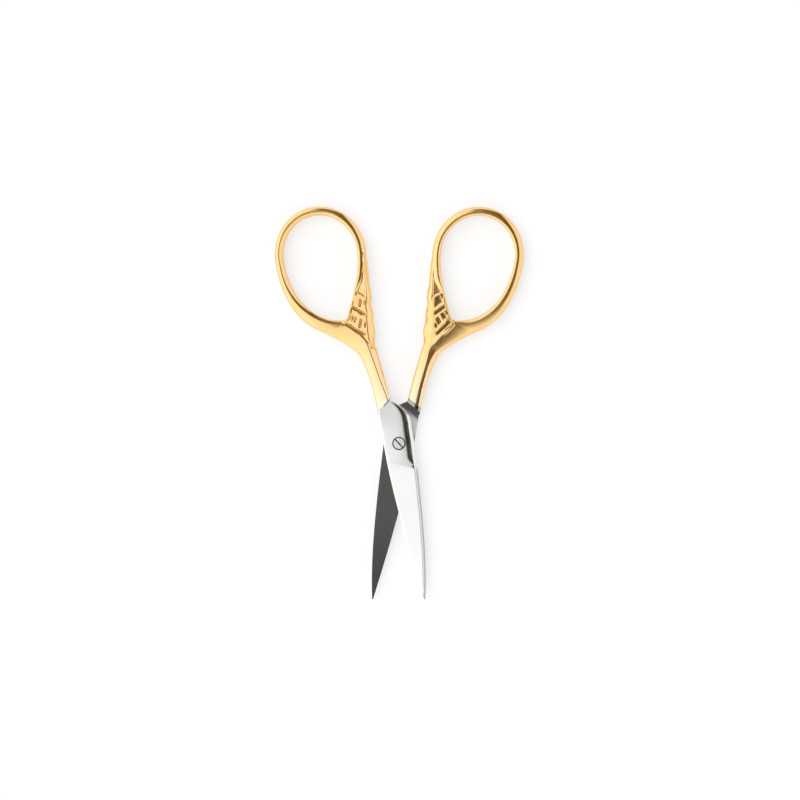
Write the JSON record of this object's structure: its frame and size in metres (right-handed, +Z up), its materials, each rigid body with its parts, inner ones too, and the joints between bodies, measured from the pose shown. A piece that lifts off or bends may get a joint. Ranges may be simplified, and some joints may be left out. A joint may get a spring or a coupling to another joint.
{
  "type": "embroidery scissors",
  "caption": "Small embroidery scissors lying open: slim pointed steel blades lapped on a slotted pivot screw, gilt handles with stepped lattice panels and oval finger bows.",
  "frame": {"origin": "on the pivot axis, in the plane on which the shanks and the end of the pivot screw rest", "axes": "+Y from the pivot towards the finger bows, +Z up out of the resting plane along the pivot, towards the screw head"},
  "size_m": [0.0552, 0.087, 0.0032],
  "materials": {
    "blade_steel": "ground and satin polished",
    "gilt": "bright gold plate",
    "screw_steel": "turned"
  },
  "bodies": {
    "back_half": {"back_blade": "blade_steel", "back_handle": "gilt", "pivot_screw": "screw_steel"},
    "front_half": {"front_blade": "blade_steel", "front_handle": "gilt"}
  },
  "joints": [
    {"name": "pivot_hinge", "type": "hinge", "parent": "back_half", "child": "front_half", "pos_m": [0, 0, 0.0016], "axis": [0, 0, 1], "range_deg": [-18.8, 75]}
  ]
}
